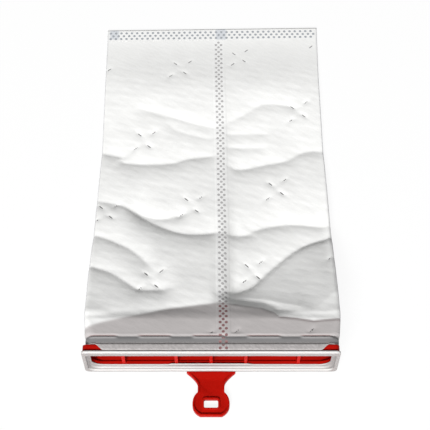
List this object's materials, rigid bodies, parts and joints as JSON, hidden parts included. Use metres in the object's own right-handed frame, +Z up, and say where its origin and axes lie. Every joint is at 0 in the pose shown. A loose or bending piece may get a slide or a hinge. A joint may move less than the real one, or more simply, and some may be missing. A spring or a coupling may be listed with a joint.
{
  "type": "vacuum exhaust filter",
  "caption": "Flat non-woven filter bag with welded seams on a ribbed oblong plastic mouth frame with a soft white seal and a red pull tab.",
  "frame": {"origin": "on the surface that the part lies on, below the middle of its whole length and width", "axes": "+X across the mouth to the right seen from the mouth, +Y from the mouth along the bag to its welded end, +Z up"},
  "size_m": [0.1816, 0.3368, 0.0404],
  "materials": {
    "collar_plastic": "injection-moulded polypropylene, satin gloss",
    "seal_rubber": "soft moulded elastomer, matte, off-white",
    "bag_fabric": "embossed multi-layer non-woven, matte white"
  },
  "bodies": {
    "root": {"collar_frame": "collar_plastic", "seal_gasket": "seal_rubber", "filter_bag": "bag_fabric"}
  },
  "joints": []
}
